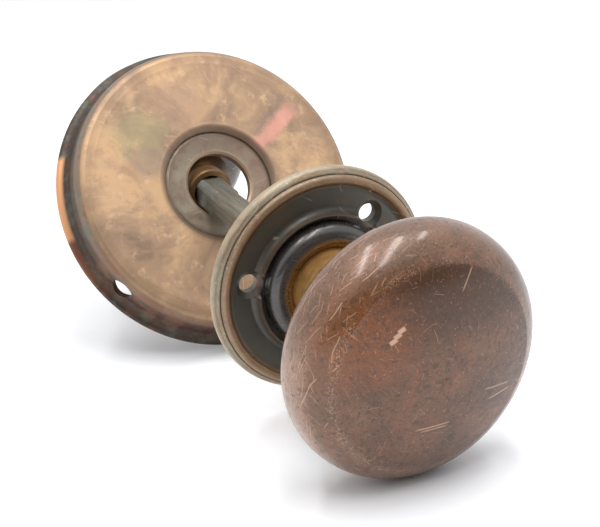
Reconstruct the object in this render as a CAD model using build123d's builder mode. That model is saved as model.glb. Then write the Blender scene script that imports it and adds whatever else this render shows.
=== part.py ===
from build123d import *
from math import cos, radians, sin
import os

# A pair of round bronze door knobs on one square spindle, with a small front rosette screwed to the door
# and a large cup rosette that hangs loose on the spindle and leans back on it.
# Millimetres. The spindle lies along Y with the front knob at -Y, and +Z is up.
# The origin is the centre of the small rosette's seat on the door.

# Knobs: two thin shells, a core inside, and a turned neck
KNOB_RADIUS = 57.15 / 2
FACE_DEPTH = 14.0
BACK_DEPTH = 12.8
RIDGE_RADIUS = 22.6
RIDGE_DEPTH = 9.9
SHOULDER = (26.2, 7.0)
SHELL_THICKNESS = 1.4
SEAM_DEPTH = 2.5
SEAM_CHAMFER = 0.2

# Shanks: the neck between a knob and its rosette. The rear one has a thin nose that clears the leaning ring
SHANK_RADIUS = 9.5
SHANK_LENGTH = 41.5
FRONT_NOSE = ((SHANK_RADIUS - 0.4, 0), (SHANK_RADIUS, 0.4))
REAR_NOSE = ((6.2, 0), (6.6, 0.4), (6.6, 5.5), (SHANK_RADIUS, 8.5))
SHANK_STEP = 31.3
TAIL_RADIUS = 6.5
TAIL_END = 37.7
SOCKET_DEPTH = 26.0
FIT_GAP = 0.02
FRONT_SHANK_END = 0.7
REAR_SHANK_END = 65.5

# Spindle: 5/16 inch square bar with turned corners, threaded at both ends
SPINDLE_SIZE = 7.94
SPINDLE_LENGTH = 114.3
CREST_RADIUS = 4.75
ROOT_RADIUS = 4.3
THREAD_PITCH = 1.27
THREADED_END = 36.0
SPINDLE_PLAY = 0.05

# Set screws
SET_SCREW_RADIUS = 2.4
SET_SCREW_REACH = 13.5
SET_SCREW_TOP = 9.0

# Small rosette
ROSETTE_RADIUS = 27.6
HOLE_CIRCLE_RADIUS = 19.0
HOLE_RADIUS = 2.2
COUNTERSINK_RADIUS = 3.4
COUNTERSINK_ANGLE = 100
FIRST_HOLE_ANGLE = 51.3
ANNULUS_HEIGHT = 3.0
PLATE_BACK = 0.2
MIDDLE_TOP = 3.3
MIDDLE_BACK = 1.9
RETAINER_HEIGHT = 0.8
COLLAR_BORE_RADIUS = SHANK_RADIUS + 0.08
SPIGOT_RADIUS = 11.5

# Large rosette, and how it leans on the spindle
CUP_RADIUS = 44.0
CUP_HEIGHT = 12.0
CUP_THICKNESS = 1.2
LEDGE_THICKNESS = 0.9
PLATEAU_RADIUS = CUP_RADIUS - 5.65
RECESS_RADIUS = 15.6
RING_FACE_HEIGHT = 10.6
RING_SEAT_DEPTH = 1.0
RING_HOLE_RADIUS = 9.25
RING_SPIGOT_RADIUS = 12.0
RING_GAP = 0.06
RING_CENTRE = Vector(2.3, 64.4, 2.3)
LEAN_ANGLE = 35.5
SWING_ANGLE = 1.3
WALL_HOLE_RADIUS = 3.2
WALL_HOLE_HEIGHT = 6.2
FIRST_WALL_HOLE_ANGLE = 215


def save(piece, name):
    piece.part.label = name
    export_step(piece.part, f"parts/{name}.step")


def turning_plane(seat_y, outward):
    """Half-section plane of a turned piece: X is the radius, Y runs outward from the seat."""
    return Plane(origin=(0, seat_y, 0), x_dir=(1, 0, 0), z_dir=(0, 0, outward))


def bun_section(half, inset):
    """Half-section of the knob's bun shape, drawn inward by the inset."""
    crown = (0, SHANK_LENGTH + FACE_DEPTH - inset)
    ridge = (RIDGE_RADIUS - inset / 2, SHANK_LENGTH + RIDGE_DEPTH - inset)
    shoulder = (SHOULDER[0] - inset, SHANK_LENGTH + SHOULDER[1] - inset / 2)
    equator = (KNOB_RADIUS - inset, SHANK_LENGTH)
    with BuildSketch(half) as section:
        with BuildLine():
            TangentArc(crown, ridge, tangent=(1, 0))
            Spline(ridge, shoulder, equator, tangents=[(cos(radians(32)), -sin(radians(32))), (0, -1)])
            EllipticalCenterArc(
                (0, SHANK_LENGTH), KNOB_RADIUS - inset, BACK_DEPTH - inset, start_angle=-90, arc_size=90
            )
            Line((0, SHANK_LENGTH - BACK_DEPTH + inset), crown)
        make_face()
    return section.sketch


def make_shell(half, seam, keep):
    """One of the two shells of a hollow knob, with a fine bevel where the shells meet."""
    outside = bun_section(half, 0)
    inside = bun_section(half, SHELL_THICKNESS)
    with BuildPart() as shell:
        revolve(outside, axis=Axis.Y)
        revolve(inside, axis=Axis.Y, mode=Mode.SUBTRACT)
        with BuildSketch(half):
            with Locations((0, SHANK_LENGTH - BACK_DEPTH)):
                Rectangle(SHANK_RADIUS + FIT_GAP, BACK_DEPTH, align=(Align.MIN, Align.CENTER))
        revolve(axis=Axis.Y, mode=Mode.SUBTRACT)
        split(bisect_by=seam, keep=keep)
        seam_y = seam.origin.Y
        seam_edges = shell.edges().filter_by_position(Axis.Y, seam_y - 0.01, seam_y + 0.01)
        chamfer(seam_edges.sort_by(SortBy.LENGTH)[-1], SEAM_CHAMFER)
    return shell


def make_shank(half, screw_plane, nose):
    """Turned neck with a nose, a round socket for the spindle, a tail for the core, and a screw hole."""
    with BuildPart() as shank:
        with BuildSketch(half):
            with BuildLine():
                Polyline(
                    (CREST_RADIUS + SPINDLE_PLAY, 0),
                    *nose,
                    (SHANK_RADIUS, SHANK_STEP),
                    (TAIL_RADIUS, SHANK_STEP),
                    (TAIL_RADIUS, TAIL_END),
                    (0, TAIL_END),
                    (0, SOCKET_DEPTH),
                    (CREST_RADIUS + SPINDLE_PLAY, SOCKET_DEPTH),
                    close=True,
                )
            make_face()
        revolve(axis=Axis.Y)
        with BuildSketch(screw_plane):
            Circle(SET_SCREW_RADIUS + FIT_GAP)
        extrude(amount=SHANK_RADIUS + 1, mode=Mode.SUBTRACT)
    return shank


def make_core(half):
    """Spool pressed on the shank's tail that backs up the domed face."""
    with BuildPart() as core:
        with BuildSketch(half):
            with BuildLine():
                Polyline(
                    (TAIL_RADIUS, SHANK_STEP),
                    (SHANK_RADIUS, SHANK_STEP),
                    (12.0, SHANK_STEP + 0.3),
                    (13.0, SHANK_STEP + 2.4),
                    (9.0, SHANK_STEP + 5.4),
                    (8.0, SHANK_STEP + 17.4),
                    (11.0, SHANK_STEP + 21.4),
                    (0, SHANK_STEP + 21.4),
                    (0, TAIL_END),
                    (TAIL_RADIUS, TAIL_END),
                    close=True,
                )
            make_face()
        revolve(axis=Axis.Y)
    return core


def make_set_screw(screw_plane):
    """Headless slotted screw that bears on a flat of the spindle."""
    with BuildPart() as screw:
        with BuildSketch(screw_plane.offset(SPINDLE_SIZE / 2 + FIT_GAP)):
            Circle(SET_SCREW_RADIUS)
        extrude(amount=SET_SCREW_TOP - SPINDLE_SIZE / 2)
        tip = screw.faces().sort_by(Axis(screw_plane.origin, screw_plane.z_dir))[0]
        chamfer(tip.edges(), 0.6)
        with BuildSketch(screw_plane.offset(SET_SCREW_TOP - 1.0)):
            Rectangle(0.8, 6)
        extrude(amount=2, mode=Mode.SUBTRACT)
    return screw


def make_knob(side, shank_end, nose, outward):
    """All the pieces of one knob, named after its side of the door."""
    half = turning_plane(shank_end, outward)
    seam = Plane(origin=(0, shank_end + outward * (SHANK_LENGTH - SEAM_DEPTH), 0), z_dir=(0, outward, 0))
    screw_plane = Plane(
        origin=(0, shank_end + outward * SET_SCREW_REACH, 0), x_dir=(1, 0, 0), z_dir=(0, 0, -1)
    )
    save(make_shell(half, seam, Keep.TOP), f"{side}_knob_face")
    save(make_shell(half, seam, Keep.BOTTOM), f"{side}_knob_back")
    save(make_core(half), f"{side}_knob_core")
    save(make_shank(half, screw_plane, nose), f"{side}_knob_shank")
    save(make_set_screw(screw_plane), f"{side}_set_screw")


def make_spindle():
    """Square bar whose corners are turned down between its two threaded ends."""
    start = (FRONT_SHANK_END + REAR_SHANK_END - SPINDLE_LENGTH) / 2
    turns = int(THREADED_END / THREAD_PITCH)
    thread = []
    for turn in range(turns):
        thread.append((ROOT_RADIUS, start + turn * THREAD_PITCH))
        thread.append((CREST_RADIUS, start + (turn + 0.4) * THREAD_PITCH))
        thread.append((CREST_RADIUS, start + (turn + 0.6) * THREAD_PITCH))
    far_thread = [(r, 2 * start + SPINDLE_LENGTH - y) for r, y in reversed(thread)]
    with BuildPart() as spindle:
        with BuildSketch(Plane(origin=(0, start, 0), x_dir=(1, 0, 0), z_dir=(0, 1, 0))):
            Rectangle(SPINDLE_SIZE, SPINDLE_SIZE)
        extrude(amount=SPINDLE_LENGTH)
        with BuildSketch(Plane.XY):
            with BuildLine():
                Polyline(
                    (0, start),
                    *thread,
                    (ROOT_RADIUS, start + turns * THREAD_PITCH),
                    (ROOT_RADIUS, start + SPINDLE_LENGTH - turns * THREAD_PITCH),
                    *far_thread,
                    (0, start + SPINDLE_LENGTH),
                    close=True,
                )
            make_face()
        revolve(axis=Axis.Y, mode=Mode.INTERSECT)
    return spindle


def make_small_rosette(half):
    """Dished plate with a double bead round its rim and a raised ring round the collar."""
    rim = ROSETTE_RADIUS
    with BuildPart() as rosette:
        with BuildSketch(half):
            with BuildLine():
                Line((rim - 1.7, 0), (rim - 0.4, 0))
                ThreePointArc((rim - 0.4, 0), (rim, 1.9), (rim - 1.3, 3.3))
                Line((rim - 1.3, 3.3), (rim - 1.5, 3.15))
                ThreePointArc((rim - 1.5, 3.15), (rim - 2.4, 4.4), (rim - 3.4, 4.0))
                ThreePointArc((rim - 3.4, 4.0), (rim - 4.0, 3.3), (rim - 4.8, ANNULUS_HEIGHT))
                Line((rim - 4.8, ANNULUS_HEIGHT), (18.6, ANNULUS_HEIGHT))
                ThreePointArc((18.6, ANNULUS_HEIGHT), (17.7, 3.6), (17.2, 5.0))
                Polyline((17.2, 5.0), (16.8, 5.0), (16.5, MIDDLE_TOP), (SPIGOT_RADIUS, MIDDLE_TOP))
                Polyline(
                    (SPIGOT_RADIUS, MIDDLE_TOP),
                    (SPIGOT_RADIUS, MIDDLE_BACK),
                    (15.2, MIDDLE_BACK),
                    (15.7, PLATE_BACK),
                    (rim - 4.9, PLATE_BACK),
                    (rim - 3.2, 2.5),
                    (rim - 2.4, 2.7),
                    (rim - 1.7, 1.6),
                    (rim - 1.7, 0),
                )
            make_face()
        revolve(axis=Axis.Y)
        with Locations(Plane(origin=(0, -ANNULUS_HEIGHT, 0), x_dir=(1, 0, 0), z_dir=(0, -1, 0))):
            with PolarLocations(HOLE_CIRCLE_RADIUS, 3, start_angle=FIRST_HOLE_ANGLE):
                CounterSinkHole(HOLE_RADIUS, COUNTERSINK_RADIUS, counter_sink_angle=COUNTERSINK_ANGLE)
    return rosette


def make_collar(half):
    """Turned collar that the front shank turns in, with a spigot through the small rosette."""
    spigot_end = MIDDLE_BACK - RETAINER_HEIGHT
    spigot = SPIGOT_RADIUS - FIT_GAP
    with BuildPart() as collar:
        with BuildSketch(half):
            with BuildLine():
                Polyline((COLLAR_BORE_RADIUS, 6.0), (COLLAR_BORE_RADIUS, spigot_end), (spigot, spigot_end))
                Polyline((spigot, spigot_end), (spigot, MIDDLE_TOP), (15.4, MIDDLE_TOP), (15.2, 4.2))
                ThreePointArc((15.2, 4.2), (14.6, 6.4), (13.0, 7.4))
                ThreePointArc((13.0, 7.4), (11.7, 7.4), (10.6, 6.5))
                Line((10.6, 6.5), (COLLAR_BORE_RADIUS, 6.0))
            make_face()
        revolve(axis=Axis.Y)
    return collar


def make_collar_retainer(half):
    """Flat ring that holds the collar's spigot behind the small rosette."""
    with BuildPart() as retainer:
        with BuildSketch(half):
            with Locations((SPIGOT_RADIUS, MIDDLE_BACK - RETAINER_HEIGHT)):
                Rectangle(3.2, RETAINER_HEIGHT, align=(Align.MIN, Align.MIN))
        revolve(axis=Axis.Y)
    return retainer


def make_cup(half, turn_axis, seat):
    """Deep pressed cup with a flat top, a sunk centre and three holes in its side wall."""
    recess_floor = RING_FACE_HEIGHT - RING_SEAT_DEPTH
    ledge_bottom = recess_floor - LEDGE_THICKNESS
    underside = CUP_HEIGHT - CUP_THICKNESS
    rim = CUP_RADIUS
    with BuildPart() as cup:
        with BuildSketch(half):
            with BuildLine():
                Line((rim - 1.45, 0), (rim - 0.3, 0))
                ThreePointArc((rim - 0.3, 0), (rim, 0.8), (rim - 0.75, 1.8))
                ThreePointArc((rim - 0.75, 1.8), (rim - 2.25, 2.9), (rim - 2.85, 4.6))
                Line((rim - 2.85, 4.6), (rim - 3.25, 8.2))
                ThreePointArc((rim - 3.25, 8.2), (rim - 3.95, 10.6), (PLATEAU_RADIUS, CUP_HEIGHT - 0.2))
                Line((PLATEAU_RADIUS, CUP_HEIGHT - 0.2), (PLATEAU_RADIUS - 2.3, CUP_HEIGHT))
                Line((PLATEAU_RADIUS - 2.3, CUP_HEIGHT), (RECESS_RADIUS + 2.4, CUP_HEIGHT))
                ThreePointArc(
                    (RECESS_RADIUS + 2.4, CUP_HEIGHT),
                    (RECESS_RADIUS + 0.8, CUP_HEIGHT - 0.3),
                    (RECESS_RADIUS, CUP_HEIGHT - 1.1),
                )
                Polyline(
                    (RECESS_RADIUS, CUP_HEIGHT - 1.1),
                    (RECESS_RADIUS, recess_floor),
                    (RING_SPIGOT_RADIUS, recess_floor),
                    (RING_SPIGOT_RADIUS, ledge_bottom),
                    (RECESS_RADIUS + CUP_THICKNESS, ledge_bottom),
                    (RECESS_RADIUS + 2.5 * CUP_THICKNESS, underside),
                    (rim - 6.25, underside),
                )
                ThreePointArc((rim - 6.25, underside), (rim - 5.05, 9.8), (rim - 4.45, 8.0))
                Line((rim - 4.45, 8.0), (rim - 4.05, 4.2))
                ThreePointArc((rim - 4.05, 4.2), (rim - 3.05, 1.8), (rim - 1.45, 0))
            make_face()
        revolve(axis=turn_axis)
        for hole in range(3):
            angle = radians(FIRST_WALL_HOLE_ANGLE + 120 * hole)
            radial = seat.x_dir * cos(angle) + seat.y_dir * sin(angle)
            wall_point = seat.origin + seat.z_dir * WALL_HOLE_HEIGHT + radial * 35
            with BuildSketch(Plane(origin=wall_point, z_dir=radial)):
                Circle(WALL_HOLE_RADIUS)
            extrude(amount=15, mode=Mode.SUBTRACT)
    return cup


def make_ring(half, turn_axis):
    """Bushing in the large rosette's sunk centre, its spigot flared over behind the cup."""
    seat = RING_FACE_HEIGHT - RING_SEAT_DEPTH
    back = seat - LEDGE_THICKNESS
    with BuildPart() as ring:
        with BuildSketch(half):
            with BuildLine():
                Polyline(
                    (RING_HOLE_RADIUS, RING_FACE_HEIGHT - 0.5),
                    (RING_HOLE_RADIUS + 0.6, RING_FACE_HEIGHT - 0.1),
                    (RECESS_RADIUS - 0.8, RING_FACE_HEIGHT),
                    (RECESS_RADIUS - RING_GAP, RING_FACE_HEIGHT - 0.2),
                    (RECESS_RADIUS - RING_GAP, seat),
                    (RING_SPIGOT_RADIUS, seat),
                    (RING_SPIGOT_RADIUS, back),
                    (RING_SPIGOT_RADIUS + 1.0, back),
                    (RING_SPIGOT_RADIUS + 0.6, back - 0.5),
                    (RING_HOLE_RADIUS, back - 0.5),
                    close=True,
                )
            make_face()
        revolve(axis=turn_axis)
    return ring


def make_large_rosette():
    """The cup and its ring, on a plane that leans back and swings a little aside."""
    outward = Vector(
        sin(radians(SWING_ANGLE)) * cos(radians(LEAN_ANGLE)),
        -cos(radians(SWING_ANGLE)) * cos(radians(LEAN_ANGLE)),
        sin(radians(LEAN_ANGLE)),
    )
    seat = Plane(origin=RING_CENTRE - outward * RING_FACE_HEIGHT, x_dir=(1, 0, 0), z_dir=outward)
    half = Plane(origin=seat.origin, x_dir=seat.x_dir, z_dir=seat.x_dir.cross(seat.z_dir))
    turn_axis = Axis(seat.origin, seat.z_dir)
    save(make_cup(half, turn_axis, seat), "rear_rosette")
    save(make_ring(half, turn_axis), "rear_rosette_ring")


os.makedirs("parts", exist_ok=True)

make_knob("front", FRONT_SHANK_END, FRONT_NOSE, -1)
make_knob("rear", REAR_SHANK_END, REAR_NOSE, 1)
save(make_spindle(), "spindle")

door_side = turning_plane(0, -1)
save(make_small_rosette(door_side), "front_rosette")
save(make_collar(door_side), "front_collar")
save(make_collar_retainer(door_side), "front_collar_retainer")
make_large_rosette()
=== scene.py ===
from math import cos, radians, sin

import bpy
from mathutils import Matrix, Vector


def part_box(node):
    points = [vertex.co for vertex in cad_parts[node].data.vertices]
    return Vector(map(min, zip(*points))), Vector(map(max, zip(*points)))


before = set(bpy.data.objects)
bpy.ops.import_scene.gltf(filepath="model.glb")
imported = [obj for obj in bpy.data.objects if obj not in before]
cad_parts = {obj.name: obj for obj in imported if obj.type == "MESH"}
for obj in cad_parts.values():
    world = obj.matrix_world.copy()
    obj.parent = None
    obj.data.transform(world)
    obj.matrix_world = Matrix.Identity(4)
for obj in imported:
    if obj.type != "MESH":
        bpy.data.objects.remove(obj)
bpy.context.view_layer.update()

MM = 0.001

# The widest circle of each knob, along the spindle
FRONT_EQUATOR = -40.8
REAR_EQUATOR = 107.0

# Camera: looks down on the set from the front knob's side
CAMERA_AZIMUTH = radians(-26.55)
CAMERA_ELEVATION = radians(23.4)
CAMERA_DISTANCE = 0.269
CAMERA_TARGET = Vector((-0.0038, 0.0016, 0.0035))
CAMERA_LENS = 69.0

# Light: three narrow panes overhead (place and size in metres), their turn, and their power per square metre
PANES = (
    ((-0.30, 0.17, 1.0), (0.11, 0.95)),
    ((0.03, -0.13, 1.0), (0.11, 0.95)),
    ((0.50, 0.10, 1.0), (0.08, 0.42)),
)
PANE_TURN = radians(-25)
PANE_POWER = 42.0

# The room: bright all round, but dark within a cone about one direction (the limits are cosines)
WORLD_BRIGHT = 1.2
WORLD_DARK = 0.06
WORLD_COLOUR = (0.95, 0.97, 1.0, 1)
DARK_WAY = (-0.15, -0.95, -0.25)
DARK_START = 0.28
DARK_FULL = 0.62

# Table: how far it touches behind the knob's middle and behind the rosette's near edge, and its half width
# (metres)
TOUCH_BEHIND = 0.004
TABLE_HALF = 6.0

# How scratch planes stand: square to the knob's face, or square to its rim
FACE_PLANES = (1.0, 0.0, 1.0)
RIM_PLANES = (0.4, 1.0, 0.4)

# Nicks on the knobs' faces (sideways, up), and their angle, length and width
NICKS = ((-11.2, 9.8), (-10.3, 10.8), (-9.4, 11.8))
NICK_SHAPE = (0.5, 2.0, 0.9)

# Single long scratches on the knobs' faces: place, angle, length and width
LONG_MARKS = (
    ((-1.8, -11.0), 0.02, 9.0, 0.35),
    ((-1.4, -11.7), 0.02, 7.0, 0.30),
    ((6.0, 19.0), 0.95, 6.0, 0.30),
    ((14.0, -6.0), -0.10, 8.0, 0.30),
    ((15.0, -8.2), 0.12, 7.0, 0.35),
)

# Where the large rosette sits and faces, as the design leans it back
ROSETTE_LEAN = radians(35.5)
ROSETTE_SWING = radians(1.3)
RING_CENTRE = Vector((2.3, 64.4, 2.3))
RING_HEIGHT = 10.6
ROSETTE_OUTWARD = Vector((
    sin(ROSETTE_SWING) * cos(ROSETTE_LEAN),
    -cos(ROSETTE_SWING) * cos(ROSETTE_LEAN),
    sin(ROSETTE_LEAN),
))
ROSETTE_CENTRE = RING_CENTRE - ROSETTE_OUTWARD * RING_HEIGHT
ROSETTE_RIGHT = (Vector((1, 0, 0)) - ROSETTE_OUTWARD * ROSETTE_OUTWARD.x).normalized()
ROSETTE_UP = ROSETTE_OUTWARD.cross(ROSETTE_RIGHT)


def srgb(red, green, blue):
    """A colour given as 0-255 display values, as the linear colour that Blender wants."""
    def linear(value):
        part = value / 255
        return part / 12.92 if part <= 0.04045 else ((part + 0.055) / 1.055) ** 2.4
    return (linear(red), linear(green), linear(blue), 1.0)


class Shade:
    """A material and short words for the nodes it is built from. Lengths are in millimetres."""

    def __init__(self, name):
        self.material = bpy.data.materials.new(name)
        self.material.use_nodes = True
        self.tree = self.material.node_tree
        self.bsdf = self.tree.nodes["Principled BSDF"]
        place = self.tree.nodes.new("ShaderNodeTexCoord").outputs["Object"]
        self.at = self.vector("SCALE", place, scale=1000)
        self.bent = self.bend(0.12, 2.4)

    def join(self, value, socket):
        if isinstance(value, bpy.types.NodeSocket):
            self.tree.links.new(value, socket)
        else:
            socket.default_value = value

    def vector(self, operation, a, b=None, scale=None):
        node = self.tree.nodes.new("ShaderNodeVectorMath")
        node.operation = operation
        self.join(a, node.inputs[0])
        if b is not None:
            self.join(b, node.inputs[1])
        if scale is not None:
            self.join(scale, node.inputs["Scale"])
        return node.outputs["Value" if operation in ("DOT_PRODUCT", "LENGTH") else "Vector"]

    def math(self, operation, a, b=0.0, c=0.0):
        node = self.tree.nodes.new("ShaderNodeMath")
        node.operation = operation
        for value, socket in zip((a, b, c), node.inputs):
            self.join(value, socket)
        return node.outputs[0]

    def axis(self, vector, direction):
        return self.vector("DOT_PRODUCT", vector, tuple(direction))

    def combine(self, x, y, z):
        node = self.tree.nodes.new("ShaderNodeCombineXYZ")
        for value, socket in zip((x, y, z), node.inputs):
            self.join(value, socket)
        return node.outputs[0]

    def noise(self, scale, detail=4.0, rough=0.55, at=None, distortion=0.0, shift=0.0):
        """Noise whose patches are about 1 / scale millimetres across."""
        node = self.tree.nodes.new("ShaderNodeTexNoise")
        where = self.at if at is None else at
        if shift:
            where = self.vector("ADD", where, (shift, shift * 1.7, -shift))
        self.join(where, node.inputs["Vector"])
        node.inputs["Scale"].default_value = scale
        node.inputs["Detail"].default_value = detail
        node.inputs["Roughness"].default_value = rough
        node.inputs["Distortion"].default_value = distortion
        return node.outputs["Fac"]

    def bend(self, scale, reach):
        """The place, pushed about by slow noise, so that scratches drawn on it curve."""
        node = self.tree.nodes.new("ShaderNodeTexNoise")
        self.join(self.at, node.inputs["Vector"])
        node.inputs["Scale"].default_value = scale
        node.inputs["Detail"].default_value = 1.0
        push = self.vector("SUBTRACT", node.outputs["Color"], (0.5, 0.5, 0.5))
        return self.vector("ADD", self.at, self.vector("SCALE", push, scale=reach))

    def step(self, value, low, high, start=0.0, end=1.0):
        """A smooth rise from start at low to end at high."""
        node = self.tree.nodes.new("ShaderNodeMapRange")
        node.interpolation_type = "SMOOTHSTEP"
        self.join(value, node.inputs["Value"])
        node.inputs["From Min"].default_value = low
        node.inputs["From Max"].default_value = high
        node.inputs["To Min"].default_value = start
        node.inputs["To Max"].default_value = end
        return node.outputs[0]

    def band(self, value, low, high, soft):
        """1 between low and high, with soft edges."""
        rise = self.step(value, low - soft, low + soft)
        fall = self.step(value, high - soft, high + soft, 1.0, 0.0)
        return self.math("MULTIPLY", rise, fall)

    def times(self, *values):
        product = values[0]
        for value in values[1:]:
            product = self.math("MULTIPLY", product, value)
        return product

    def most(self, *values):
        largest = values[0]
        for value in values[1:]:
            largest = self.math("MAXIMUM", largest, value)
        return largest

    def mix(self, amount, a, b):
        node = self.tree.nodes.new("ShaderNodeMix")
        node.data_type = "RGBA"
        self.join(amount, node.inputs["Factor"])
        self.join(a, node.inputs[6])
        self.join(b, node.inputs[7])
        return node.outputs[2]

    def ramp(self, value, *stops):
        """Colour ramp from (place, colour) stops."""
        node = self.tree.nodes.new("ShaderNodeValToRGB")
        self.join(value, node.inputs[0])
        elements = node.color_ramp.elements
        elements[0].position, elements[0].color = stops[0]
        elements[1].position, elements[1].color = stops[-1]
        for place, colour in stops[1:-1]:
            element = elements.new(place)
            element.color = colour
        return node.outputs[0]

    def scratches(self, cell, width, length, share, across=(1, 1, 1), lean=(0, 0, 0), shift=0.0):
        """Scratches in some cells of a 3D cell pattern, each on a plane of its own.

        More cells have one as share rises from 0 to 1. across scales the planes' normals along each axis,
        and lean pulls them one way.
        """
        start = self.vector("SCALE", self.bent, scale=1.0 / cell)
        start = self.vector("ADD", start, (shift, 2.3 * shift, -1.1 * shift))
        node = self.tree.nodes.new("ShaderNodeTexVoronoi")
        node.feature = "F1"
        node.inputs["Scale"].default_value = 1.0
        self.join(start, node.inputs["Vector"])
        away = self.vector("SUBTRACT", start, node.outputs["Position"])
        random = self.vector("SUBTRACT", node.outputs["Color"], (0.5, 0.5, 0.5))
        random = self.vector("ADD", self.vector("MULTIPLY", random, across), lean)
        plane = self.vector("NORMALIZE", random)
        off_plane = self.math("ABSOLUTE", self.vector("DOT_PRODUCT", away, plane))
        reach = self.vector("LENGTH", away)
        pick = self.vector("DOT_PRODUCT", node.outputs["Color"], (0.31, 0.47, 0.22))
        line = self.step(off_plane, 0.35 * width / cell, width / cell, 1.0, 0.0)
        fade = self.step(reach, 0.3 * length / cell, 0.5 * length / cell, 1.0, 0.0)
        limit = 0.24 + 0.5 * share
        chosen = self.step(pick, limit - 0.03, limit + 0.03, 1.0, 0.0)
        return self.times(line, fade, chosen)

    def mark(self, middle, angle, length, width):
        """One straight scratch on a knob's face, its middle given sideways and up, fading at its ends."""
        way = (cos(angle), 0.0, sin(angle))
        away = self.vector("SUBTRACT", self.at, (middle[0], 0.0, middle[1]))
        away = self.vector("MULTIPLY", away, FACE_PLANES)
        run = self.axis(away, way)
        off = self.vector("LENGTH", self.vector("SUBTRACT", away, self.vector("SCALE", way, scale=run)))
        line = self.step(off, 0.3 * width, 0.7 * width, 1.0, 0.0)
        fade = self.step(self.math("ABSOLUTE", run), 0.3 * length, 0.5 * length, 1.0, 0.0)
        return self.times(line, fade)

    def bump(self, height, depth_mm, strength=1.0, onto=None):
        node = self.tree.nodes.new("ShaderNodeBump")
        node.inputs["Strength"].default_value = strength
        node.inputs["Distance"].default_value = depth_mm * MM
        self.join(height, node.inputs["Height"])
        if onto is not None:
            self.join(onto, node.inputs["Normal"])
        return node.outputs[0]

    def finish(self, colour, roughness, metallic, normal=None, coat=0.0, coat_roughness=0.1):
        self.join(colour, self.bsdf.inputs["Base Color"])
        self.join(roughness, self.bsdf.inputs["Roughness"])
        self.join(metallic, self.bsdf.inputs["Metallic"])
        self.bsdf.inputs["Coat Weight"].default_value = coat
        self.bsdf.inputs["Coat Roughness"].default_value = coat_roughness
        if normal is not None:
            self.join(normal, self.bsdf.inputs["Normal"])
        return self.material

    def stain_patch(self, side, up, middle, reach, edge, amount):
        """An oval stain with a ragged edge, for a place given sideways and up on the large rosette."""
        across = self.math("DIVIDE", self.math("SUBTRACT", side, middle[0]), reach[0])
        along = self.math("DIVIDE", self.math("SUBTRACT", up, middle[1]), reach[1])
        distance = self.vector("LENGTH", self.combine(across, along, 0.0))
        distance = self.math("ADD", distance, self.math("MULTIPLY_ADD", edge, 2.0, -1.0))
        return self.math("MULTIPLY", self.step(distance, 1.3, 0.5), amount)

    def spindle_radius(self):
        """Distance from the spindle's axis."""
        across = self.vector("MULTIPLY", self.at, (1, 0, 1))
        return self.vector("LENGTH", across)

    def rosette_place(self):
        """Sideways, up and outward places on the large rosette."""
        local = self.vector("SUBTRACT", self.at, tuple(ROSETTE_CENTRE))
        return [self.axis(local, way) for way in (ROSETTE_RIGHT, ROSETTE_UP, ROSETTE_OUTWARD)]


class KnobPlace:
    """Where a point of a knob is: sideways, up, out from the spindle, and out from the widest circle."""

    def __init__(self, shade, equator, outward):
        along = shade.axis(shade.at, (0, 1, 0))
        self.equator = equator
        self.side = shade.axis(shade.at, (1, 0, 0))
        self.height = shade.axis(shade.at, (0, 0, 1))
        self.radius = shade.spindle_radius()
        self.depth = shade.math("MULTIPLY", shade.math("SUBTRACT", along, equator), outward)
        self.face = shade.step(self.depth, 3.0, 6.0)
        self.left = shade.step(self.side, 4.0, -22.0)


def knob_patina(shade, place, blotch, mottle, grain):
    """Mottled brown: dark below the ridge on the upper face, partly patina but mostly a painted dark
    reflection; amber at the upper left; paler on the rubbed rim, and paler still on the left rim, partly
    wear and partly a painted highlight; painted shade on the back.
    """
    patina = shade.ramp(
        shade.noise(0.06, 5, 0.6, distortion=0.6),
        (0.30, srgb(66, 42, 24)),
        (0.44, srgb(88, 57, 36)),
        (0.56, srgb(104, 68, 44)),
        (0.70, srgb(112, 78, 56)),
    )
    rust = shade.times(shade.step(blotch, 0.48, 0.66), 0.5)
    patina = shade.mix(rust, patina, srgb(130, 76, 44))
    # Painted dark reflection, partly patina: the upper face inside the ridge is darkened to deep brown,
    # mostly standing in for the dark room mirrored there.
    painted_dark_reflection_and_patina = shade.times(
        shade.step(place.height, 3.0, 13.0), shade.step(place.radius, 23.6, 21.8), place.face
    )
    patina = shade.mix(shade.times(painted_dark_reflection_and_patina, 0.75), patina, srgb(60, 31, 8))
    from_amber = shade.vector("SUBTRACT", shade.at, (-17, place.equator, 11))
    amber_distance = shade.vector("LENGTH", shade.vector("MULTIPLY", from_amber, (0.8, 0.0, 0.9)))
    amber = shade.times(
        shade.step(amber_distance, 13.0, 3.0), shade.step(mottle, 0.36, 0.60), place.face, 0.85
    )
    patina = shade.mix(amber, patina, srgb(146, 76, 14))
    rubbed = shade.times(shade.step(place.radius, 22.0, 26.0), shade.step(mottle, 0.34, 0.60, 0.2, 0.7))
    patina = shade.mix(shade.times(rubbed, 0.5), patina, srgb(142, 108, 82))
    # Partly rubbed wear, partly a painted highlight: the rim's left side is made pale tan, standing in for
    # bright light mirrored there.
    left_rim_wear_and_highlight = shade.times(
        shade.step(place.radius, 26.0, 28.4), place.left, shade.step(place.height, 14.0, 2.0), 0.45
    )
    patina = shade.mix(left_rim_wear_and_highlight, patina, srgb(186, 152, 130))
    patina = shade.mix(shade.step(mottle, 0.48, 0.66, 0.0, 0.6), patina, srgb(54, 34, 21))
    patina = shade.mix(shade.step(grain, 0.50, 0.68, 0.0, 0.5), patina, srgb(44, 28, 18))
    patina = shade.mix(shade.step(grain, 0.44, 0.30, 0.0, 0.45), patina, srgb(150, 106, 78))
    # Painted shade: the back of the knob, towards its neck, is darkened to near black, where the knob sits
    # in shadow.
    behind = shade.step(place.depth, -2.0, -7.0)
    return shade.mix(shade.times(behind, 0.8), patina, srgb(34, 28, 22))


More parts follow.
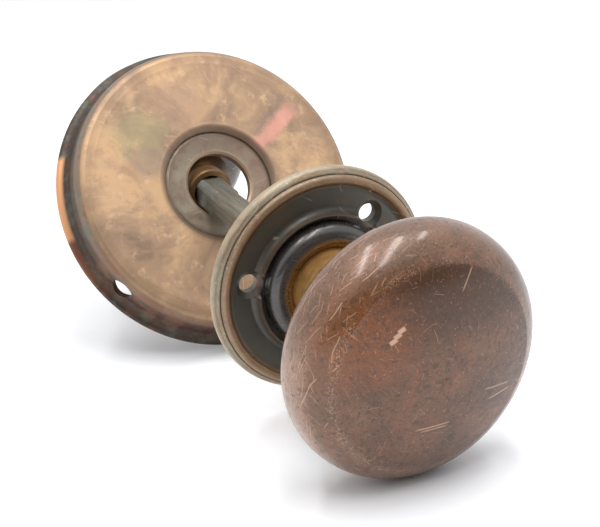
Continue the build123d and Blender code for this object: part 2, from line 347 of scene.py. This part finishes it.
def knob_wear(shade, place):
    """Where the patina is worn through: scratches, marks, nicks, specks and the ridge."""
    patchy = shade.step(shade.noise(0.10, 3, 0.5, shift=23), 0.38, 0.60, 0.3, 1.0)
    rough_patch = shade.step(shade.noise(2.4, 4, 0.8, shift=11), 0.50, 0.60)
    ridge = shade.times(
        shade.band(place.radius, 22.4, 23.6, 1.2),
        place.face,
        rough_patch,
        shade.step(place.left, 0.0, 0.6, 0.35, 0.9),
        patchy,
    )
    specks = shade.step(shade.noise(2.2, 2, 0.5, shift=19), 0.69, 0.74)
    flat_hairs = shade.times(
        shade.most(
            shade.times(shade.scratches(9.0, 0.11, 10.0, 0.15, FACE_PLANES, shift=1.3), 0.9),
            shade.times(shade.scratches(5.0, 0.10, 5.0, 0.18, FACE_PLANES, shift=5.1), 0.7),
            shade.times(shade.scratches(3.0, 0.09, 3.4, 0.24, FACE_PLANES, shift=8.7), 0.6),
            shade.times(shade.scratches(1.8, 0.08, 1.5, 0.26, FACE_PLANES, shift=2.9), 0.55),
        ),
        shade.step(place.radius, 25.5, 23.5),
    )
    rim_hairs = shade.times(
        shade.most(
            shade.scratches(6.0, 0.09, 11.0, 0.45, RIM_PLANES, (0.0, 1.4, 0.2), shift=3.9),
            shade.times(shade.scratches(3.2, 0.08, 6.0, 0.5, RIM_PLANES, (0.0, 1.1, 0.3), shift=6.4), 0.8),
            shade.times(shade.scratches(2.0, 0.07, 3.6, 0.5, RIM_PLANES, (0.0, 1.0, -0.3), shift=9.2), 0.6),
        ),
        shade.step(place.radius, 22.5, 24.5),
        shade.step(place.left, 0.0, 0.8, 0.15, 1.0),
    )
    right_hairs = shade.times(
        shade.scratches(3.6, 0.09, 7.0, 0.5, FACE_PLANES, (0.0, 0.0, 1.6), shift=12.4),
        shade.step(place.side, 12.0, 17.0),
        shade.band(place.height, -11.0, -4.0, 1.5),
    )
    nicks = shade.times(shade.most(*(shade.mark(nick, *NICK_SHAPE) for nick in NICKS)), place.face)
    long_marks = shade.times(shade.most(*(shade.mark(*mark) for mark in LONG_MARKS)), place.face, 0.8)
    lines = shade.most(shade.times(flat_hairs, patchy), rim_hairs, right_hairs, long_marks)
    return shade.most(shade.times(lines, 0.75), ridge, shade.times(specks, 0.6), nicks)


def knob_bronze(name, equator, outward):
    """Brown lacquered bronze: mottled patina, a worn ridge, and pale scratches through to the metal."""
    shade = Shade(name)
    place = KnobPlace(shade, equator, outward)
    blotch = shade.noise(0.25, 6, 0.7, shift=7)
    mottle = shade.noise(0.7, 5, 0.75, shift=29)
    grain = shade.noise(1.8, 4, 0.75, shift=3)
    worn = knob_wear(shade, place)
    patina = knob_patina(shade, place, blotch, mottle, grain)
    colour = shade.mix(shade.times(worn, 0.8), patina, srgb(214, 174, 144))
    roughness = shade.math("ADD", shade.step(mottle, 0.3, 0.7, 0.30, 0.46), shade.times(worn, 0.15))
    metallic = shade.step(worn, 0.1, 0.9, 0.25, 0.6)
    dents = shade.bump(shade.noise(0.3, 3, 0.5, shift=31), 0.12, 0.4)
    pits = shade.bump(grain, 0.04, 0.4, dents)
    cuts = shade.bump(worn, -0.04, 0.6, pits)
    return shade.finish(colour, roughness, metallic, cuts, coat=0.5, coat_roughness=0.13)


def shank_brass(name, painted_shade):
    """Golden brass with brown stains and streaks. The second argument browns it all over, as painted shade.
    """
    shade = Shade(name)
    stain = shade.noise(0.16, 5, 0.6, shift=4)
    streak = shade.noise(0.8, 3, 0.5, at=shade.vector("MULTIPLY", shade.at, (0.3, 1.0, 0.3)))
    colour = shade.ramp(
        stain, (0.32, srgb(140, 102, 56)), (0.52, srgb(176, 134, 78)), (0.7, srgb(190, 148, 90))
    )
    colour = shade.mix(shade.step(streak, 0.55, 0.8, 0.0, 0.35), colour, srgb(120, 86, 52))
    lines = shade.scratches(4.0, 0.08, 6.0, 0.3)
    colour = shade.mix(shade.times(lines, 0.5), colour, srgb(226, 190, 138))
    # Painted shade: the second argument browns the whole shank, for a shank that sits in shadow.
    colour = shade.mix(painted_shade, colour, srgb(58, 38, 26))
    roughness = shade.step(stain, 0.3, 0.7, 0.44, 0.30)
    normal = shade.bump(streak, 0.03, 0.4)
    return shade.finish(colour, roughness, 0.5, normal)


def small_rosette_bronze():
    """Near-black dish, brown slope, rubbed brown bead and a grey-green outer bead."""
    shade = Shade("small_rosette_patina")
    radius = shade.spindle_radius()
    wobble = shade.math("MULTIPLY_ADD", shade.noise(0.3, 4, 0.6), 0.7, -0.35)
    ring_place = shade.math("ADD", radius, wobble)
    place = shade.math("MULTIPLY_ADD", ring_place, 1 / 14.0, -1.0)
    colour = shade.ramp(
        place,
        (0.14, srgb(60, 55, 50)),
        (0.215, srgb(112, 98, 84)),
        (0.26, srgb(74, 72, 66)),
        (0.60, srgb(84, 83, 75)),
        (0.68, srgb(84, 74, 60)),
        (0.72, srgb(126, 92, 58)),
        (0.775, srgb(150, 121, 92)),
        (0.83, srgb(150, 124, 98)),
        (0.875, srgb(112, 98, 80)),
        (0.905, srgb(160, 139, 114)),
        (0.94, srgb(120, 104, 84)),
        (0.97, srgb(164, 146, 122)),
    )
    rust = shade.times(shade.step(shade.noise(0.25, 5, 0.6, shift=9), 0.5, 0.7), 0.35)
    colour = shade.mix(rust, colour, srgb(118, 82, 58))
    green = shade.times(
        shade.step(shade.noise(0.2, 4, 0.6, shift=15), 0.44, 0.62), shade.step(radius, 25.8, 26.6), 0.25
    )
    colour = shade.mix(green, colour, srgb(140, 150, 132))
    rim = shade.step(radius, 23.6, 24.4)
    nicks = shade.most(
        shade.times(shade.scratches(4.0, 0.10, 5.0, 0.2, shift=2.2), 0.8),
        shade.times(shade.step(shade.noise(1.4, 4, 0.7, shift=21), 0.58, 0.68), rim),
        shade.times(shade.scratches(3.0, 0.09, 6.0, 0.4, RIM_PLANES, (0.0, 2.2, 0.0), shift=7.2), rim),
    )
    colour = shade.mix(shade.times(nicks, 0.45), colour, srgb(208, 182, 158))
    smudge = shade.noise(0.5, 4)
    roughness = shade.math("ADD", shade.step(smudge, 0.3, 0.7, 0.34, 0.48), shade.times(rim, 0.06))
    normal = shade.bump(shade.noise(1.2, 5, 0.65, shift=5), 0.05, 0.5)
    return shade.finish(colour, roughness, 0.5, normal, coat=0.1, coat_roughness=0.25)


def collar_bronze():
    """Dark polished bead with a golden inner slope where the shank rubs."""
    shade = Shade("collar_patina")
    radius = shade.spindle_radius()
    wobble = shade.math("MULTIPLY_ADD", shade.noise(0.25, 4, 0.6), 1.0, -0.5)
    place = shade.math("MULTIPLY_ADD", shade.math("ADD", radius, wobble), 1 / 8.0, -1.0)
    colour = shade.ramp(
        place,
        (0.30, srgb(170, 128, 72)),
        (0.42, srgb(124, 104, 80)),
        (0.56, srgb(88, 84, 82)),
        (0.85, srgb(76, 74, 72)),
        (0.98, srgb(58, 56, 52)),
    )
    lines = shade.scratches(3.0, 0.08, 4.0, 0.2, shift=3.3)
    colour = shade.mix(shade.times(lines, 0.4), colour, srgb(150, 138, 124))
    roughness = shade.step(shade.noise(0.6, 4), 0.3, 0.7, 0.22, 0.36)
    normal = shade.bump(shade.noise(1.0, 4, 0.6, shift=6), 0.03, 0.4)
    return shade.finish(colour, roughness, 0.6, normal, coat=0.3, coat_roughness=0.15)


def rosette_stains(shade, side, up, mottle, colour):
    """The flat top's green, grey and brown stains, and its ragged pink streak."""
    for middle, reach, amount, stain in (
        ((-19, 18), (9, 6), 0.5, srgb(150, 146, 108)),
        ((-19, 9), (6, 5), 0.55, srgb(136, 122, 110)),
        ((-6, 24), (9, 7), 0.45, srgb(164, 132, 114)),
    ):
        colour = shade.mix(shade.stain_patch(side, up, middle, reach, mottle, amount), colour, stain)
    flat = shade.combine(side, up, 0.0)
    way = shade.math("SUBTRACT", shade.math("MULTIPLY", side, 0.57), shade.math("MULTIPLY", up, 0.82))
    run = shade.math("ADD", shade.math("MULTIPLY", side, 0.82), shade.math("MULTIPLY", up, 0.57))
    ragged = shade.math("MULTIPLY_ADD", shade.noise(0.25, 5, 0.7, at=flat, shift=17), 5.0, -2.5)
    way = shade.math("ADD", way, ragged)
    streak = shade.times(shade.band(way, -1.9, 2.4, 1.3), shade.band(run, 14.0, 33.0, 3.0))
    colour = shade.mix(shade.times(streak, 0.75), colour, srgb(226, 160, 144))
    streak_edge = shade.times(shade.band(way, -4.0, -2.4, 0.9), shade.band(run, 18.0, 33.0, 3.0))
    return shade.mix(shade.times(streak_edge, 0.6), colour, srgb(142, 122, 112))


def rosette_top(shade, side, up, mottle):
    """Rubbed golden brown, mottled and lightly scratched."""
    flat = shade.combine(side, up, 0.0)
    colour = shade.ramp(
        shade.noise(0.05, 5, 0.6, at=flat, distortion=0.8, shift=2),
        (0.32, srgb(134, 110, 90)),
        (0.44, srgb(170, 140, 112)),
        (0.56, srgb(203, 166, 128)),
        (0.68, srgb(210, 170, 124)),
    )
    colour = shade.mix(shade.times(shade.step(mottle, 0.44, 0.66), 0.6), colour, srgb(166, 132, 108))
    pale = shade.times(shade.step(shade.noise(0.22, 5, 0.7, at=flat, shift=41), 0.54, 0.70), 0.55)
    colour = shade.mix(pale, colour, srgb(224, 186, 148))
    dark = shade.times(shade.step(shade.noise(0.3, 6, 0.72, at=flat, shift=13), 0.56, 0.72), 0.5)
    colour = shade.mix(dark, colour, srgb(136, 112, 94))
    colour = rosette_stains(shade, side, up, mottle, colour)
    lines = shade.most(
        shade.scratches(10.0, 0.14, 14.0, 0.05, lean=(0.6, 0.2, 0.0), shift=4.0),
        shade.times(shade.scratches(5.0, 0.10, 7.0, 0.05, shift=9.0), 0.7),
        shade.times(shade.scratches(2.8, 0.10, 3.0, 0.1, shift=15.0), 0.5),
    )
    return shade.mix(shade.times(lines, 0.45), colour, srgb(244, 210, 176))


def rosette_wall(shade, side, up, out, radius):
    """Dark green and brown side wall, redder below, with bare copper on part of the rim's edge."""
    wall = shade.ramp(
        shade.math("MULTIPLY", out, 1 / 12.0),
        (0.05, srgb(44, 36, 29)),
        (0.16, srgb(62, 50, 40)),
        (0.36, srgb(46, 39, 32)),
        (0.62, srgb(76, 62, 50)),
        (0.80, srgb(122, 106, 88)),
        (0.95, srgb(142, 117, 94)),
    )
    wall_noise = shade.noise(0.2, 5, 0.65, shift=27)
    wall = shade.mix(shade.times(shade.step(wall_noise, 0.46, 0.62), 0.5), wall, srgb(92, 94, 80))
    wall = shade.mix(shade.times(shade.step(wall_noise, 0.50, 0.36), 0.45), wall, srgb(112, 70, 50))
    reddish = shade.times(
        shade.step(up, -6.0, -20.0), shade.step(wall_noise, 0.42, 0.56), shade.step(out, 1.5, 5.0)
    )
    wall = shade.mix(shade.times(reddish, 0.5), wall, srgb(138, 84, 58))
    edge_strip = shade.times(
        shade.band(out, 0.2, 2.2, 0.4), shade.step(radius, 41.6, 42.4), shade.step(side, -20.0, -26.0)
    )
    rusty = shade.times(edge_strip, shade.band(up, -20.0, -7.0, 3.0), 0.6)
    wall = shade.mix(rusty, wall, srgb(132, 74, 46))
    bare = shade.times(edge_strip, shade.band(up, -7.0, 16.5, 1.2))
    return shade.mix(shade.times(bare, 0.9), wall, srgb(214, 154, 108))


def large_rosette_bronze():
    """Rubbed golden top with brown and green stains, dark sides, a copper streak on the rim."""
    shade = Shade("large_rosette_patina")
    side, up, out = shade.rosette_place()
    flat = shade.combine(side, up, 0.0)
    radius = shade.vector("LENGTH", flat)
    mottle = shade.noise(0.15, 6, 0.68, at=flat, shift=6)
    on_top = shade.math("ADD", shade.step(out, 10.4, 11.9), shade.step(radius, 17.4, 16.6))
    top = rosette_top(shade, side, up, mottle)
    wall = rosette_wall(shade, side, up, out, radius)
    colour = shade.mix(shade.step(on_top, 0.2, 0.8), wall, top)
    edge_dark = shade.times(shade.step(radius, 34.0, 38.2), shade.step(out, 10.6, 11.4), 0.45)
    colour = shade.mix(edge_dark, colour, srgb(134, 108, 82))
    cove = shade.step(radius, 18.2, 16.2)
    colour = shade.mix(shade.times(cove, 0.85), colour, srgb(118, 98, 80))
    roughness = shade.step(mottle, 0.3, 0.7, 0.40, 0.54)
    normal = shade.bump(shade.noise(0.25, 4, 0.6, shift=2), 0.2, 0.3)
    normal = shade.bump(shade.noise(1.4, 5, 0.7, shift=33), 0.05, 0.4, normal)
    return shade.finish(colour, roughness, 0.45, normal)


def ring_bronze():
    """Grey-brown bushing, redder at its right side and browner at its outer edge; browner at its top too,
    which is painted shade.
    """
    shade = Shade("ring_patina_and_shade")
    side, up, out = shade.rosette_place()
    radius = shade.vector("LENGTH", shade.combine(side, up, 0.0))
    stain = shade.noise(0.22, 5, 0.6, shift=8)
    colour = shade.ramp(
        stain, (0.34, srgb(124, 107, 90)), (0.52, srgb(145, 131, 113)), (0.68, srgb(147, 141, 121))
    )
    colour = shade.mix(shade.step(side, 2.0, 14.0, 0.0, 0.45), colour, srgb(144, 112, 96))
    # Painted shade: the top of the ring is made browner and darker, where the recess shades it.
    colour = shade.mix(shade.step(up, 4.0, 14.0, 0.0, 0.6), colour, srgb(112, 92, 78))
    colour = shade.mix(shade.step(radius, 13.6, 15.4, 0.0, 0.65), colour, srgb(112, 94, 80))
    colour = shade.mix(shade.step(radius, 11.0, 9.4, 0.0, 0.5), colour, srgb(176, 146, 118))
    lines = shade.scratches(4.0, 0.10, 5.0, 0.25)
    colour = shade.mix(shade.times(lines, 0.4), colour, srgb(206, 188, 166))
    roughness = shade.step(shade.noise(0.5, 4), 0.3, 0.7, 0.38, 0.52)
    pits = shade.math("ADD", shade.noise(1.0, 4, 0.6), shade.math("MULTIPLY", out, 0.01))
    return shade.finish(colour, roughness, 0.5, shade.bump(pits, 0.05, 0.4))


def dark_steel(name, tint):
    """Old dark steel, streaked along the bar, with lighter scratches."""
    shade = Shade(name)
    long = shade.vector("MULTIPLY", shade.at, (1.0, 0.08, 1.0))
    streak = shade.noise(0.9, 4, 0.5, at=long)
    spots = shade.noise(0.4, 5, 0.7, shift=5)
    colour = shade.ramp(streak, (0.3, srgb(92, 92, 82)), (0.5, tint), (0.72, srgb(134, 131, 119)))
    colour = shade.mix(shade.step(spots, 0.56, 0.72, 0.0, 0.45), colour, srgb(74, 62, 50))
    lines = shade.scratches(3.0, 0.10, 3.0, 0.3, shift=2.7)
    colour = shade.mix(shade.times(lines, 0.35), colour, srgb(158, 152, 138))
    roughness = shade.step(streak, 0.3, 0.7, 0.46, 0.36)
    normal = shade.bump(streak, 0.02, 0.4)
    return shade.finish(colour, roughness, 0.6, normal)


def cast_iron():
    """Sandy grey casting, never seen from outside."""
    shade = Shade("cast_core")
    grain = shade.noise(1.5, 6, 0.75)
    colour = shade.ramp(grain, (0.3, srgb(60, 56, 52)), (0.7, srgb(104, 98, 90)))
    return shade.finish(colour, 0.7, 0.5, shade.bump(grain, 0.2, 0.7))


def paint(material, *nodes):
    for node in nodes:
        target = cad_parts[node]
        target.data.materials.clear()
        target.data.materials.append(material)


def make_floor():
    """Pale table top, tipped so that it touches the front knob and the large rosette."""
    knob_low, knob_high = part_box("front_knob_face")
    rosette_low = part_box("rear_rosette")[0]
    knob_foot = Vector((0, (knob_low.y + knob_high.y) / 2 + TOUCH_BEHIND, knob_low.z))
    rosette_foot = Vector((0, rosette_low.y + TOUCH_BEHIND, rosette_low.z))
    run = rosette_foot - knob_foot
    slope = run.z / run.y
    mesh = bpy.data.meshes.new("table_top")
    square = ((-1, -1), (1, -1), (1, 1), (-1, 1))
    corners = [(x * TABLE_HALF, y * TABLE_HALF) for x, y in square]
    corners = [(x, y, knob_foot.z + slope * (y - knob_foot.y)) for x, y in corners]
    mesh.from_pydata(corners, [], [(0, 1, 2, 3)])
    floor = bpy.data.objects.new("table_top", mesh)
    bpy.context.collection.objects.link(floor)
    shade = Shade("table_white")
    speck = shade.noise(0.02, 4, 0.6)
    colour = shade.ramp(speck, (0.3, (0.86, 0.865, 0.875, 1)), (0.7, (0.90, 0.90, 0.905, 1)))
    mesh.materials.append(shade.finish(colour, 0.45, 0.0))


def add_pane(place, size):
    """A level rectangular lamp that shines straight down."""
    light = bpy.data.lights.new("pane", "AREA")
    light.shape = "RECTANGLE"
    light.size, light.size_y = size
    light.energy = PANE_POWER * size[0] * size[1]
    lamp = bpy.data.objects.new("pane", light)
    bpy.context.collection.objects.link(lamp)
    lamp.location = place
    lamp.rotation_euler = (0, 0, PANE_TURN)


def light_world():
    """A soft room: bright above, behind and to the sides, and dark in front of the front knob."""
    world = bpy.data.worlds.new("soft_room")
    bpy.context.scene.world = world
    world.use_nodes = True
    tree = world.node_tree
    direction = tree.nodes.new("ShaderNodeTexCoord").outputs["Generated"]
    front = tree.nodes.new("ShaderNodeVectorMath")
    front.operation = "DOT_PRODUCT"
    tree.links.new(direction, front.inputs[0])
    front.inputs[1].default_value = DARK_WAY
    ramp = tree.nodes.new("ShaderNodeMapRange")
    ramp.interpolation_type = "SMOOTHSTEP"
    tree.links.new(front.outputs["Value"], ramp.inputs["Value"])
    ramp.inputs["From Min"].default_value = DARK_START
    ramp.inputs["From Max"].default_value = DARK_FULL
    ramp.inputs["To Min"].default_value = WORLD_BRIGHT
    ramp.inputs["To Max"].default_value = WORLD_DARK
    background = tree.nodes["Background"]
    background.inputs["Color"].default_value = WORLD_COLOUR
    tree.links.new(ramp.outputs[0], background.inputs["Strength"])


def add_camera():
    back = Vector((
        sin(CAMERA_AZIMUTH) * cos(CAMERA_ELEVATION),
        -cos(CAMERA_AZIMUTH) * cos(CAMERA_ELEVATION),
        sin(CAMERA_ELEVATION),
    ))
    right = Vector((cos(CAMERA_AZIMUTH), sin(CAMERA_AZIMUTH), 0))
    up = back.cross(right)
    data = bpy.data.cameras.new("camera")
    data.lens = CAMERA_LENS
    data.sensor_width = 36.0
    data.clip_start = 0.01
    data.clip_end = 50.0
    camera = bpy.data.objects.new("camera", data)
    bpy.context.collection.objects.link(camera)
    turn = Matrix((right, up, back)).transposed().to_4x4()
    camera.matrix_world = Matrix.Translation(CAMERA_TARGET + back * CAMERA_DISTANCE) @ turn
    bpy.context.scene.camera = camera


# The knob materials are patina and wear, plus painted shade, a painted dark reflection and a painted
# highlight.
paint(knob_bronze("front_knob_patina_and_shade", FRONT_EQUATOR, -1), "front_knob_face", "front_knob_back")
paint(knob_bronze("rear_knob_patina_and_shade", REAR_EQUATOR, 1), "rear_knob_face", "rear_knob_back")
paint(shank_brass("front_shank_patina", 0.0), "front_knob_shank")
# The rear shank sits in the large rosette's shadow, so 0.7 of painted shade darkens it.
paint(shank_brass("rear_shank_patina_and_shade", 0.7), "rear_knob_shank")
paint(small_rosette_bronze(), "front_rosette")
paint(collar_bronze(), "front_collar", "front_collar_retainer")
paint(large_rosette_bronze(), "rear_rosette")
paint(ring_bronze(), "rear_rosette_ring")
paint(dark_steel("spindle_steel_worn", srgb(116, 114, 103)), "spindle")
paint(dark_steel("screw_steel_worn", srgb(110, 106, 98)), "front_set_screw", "rear_set_screw")
paint(cast_iron(), "front_knob_core", "rear_knob_core")

make_floor()
light_world()
for pane_place, pane_size in PANES:
    add_pane(pane_place, pane_size)
add_camera()
bpy.context.scene.view_settings.view_transform = "Standard"
